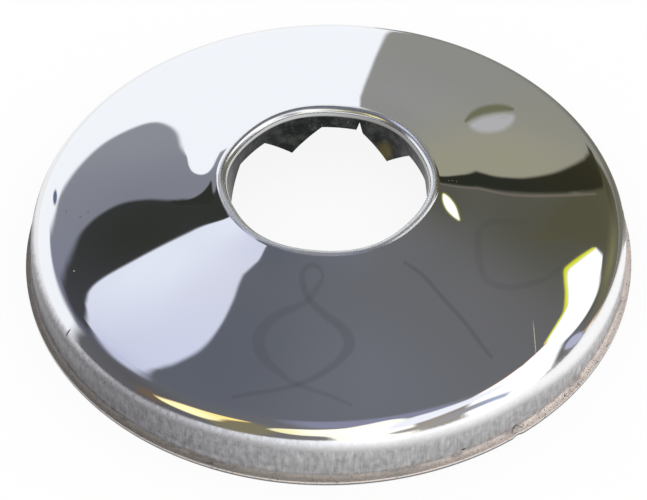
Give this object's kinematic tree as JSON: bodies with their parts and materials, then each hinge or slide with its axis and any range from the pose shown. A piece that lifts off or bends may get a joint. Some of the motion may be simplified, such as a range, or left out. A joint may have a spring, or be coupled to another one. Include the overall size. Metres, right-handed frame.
{
  "type": "shower arm flange",
  "caption": "Round stamped sheet-metal flange that slides over a shower arm and covers its wall hole, with a domed face, rolled lip and toothed collar.",
  "frame": {"origin": "centre of the rim's back, on the wall plane", "axes": "+Z along the shower arm's axis, away from the wall; +X to the right and +Y away from the viewer in the picture's view"},
  "size_m": [0.0698, 0.0698, 0.0106],
  "materials": {
    "chrome_sheet": "polished chrome plate on the face, shoulder and lip; duller, lightly drawn and pitted plate on the skirt and inside"
  },
  "bodies": {
    "root": {"flange": "chrome_sheet"}
  },
  "joints": []
}
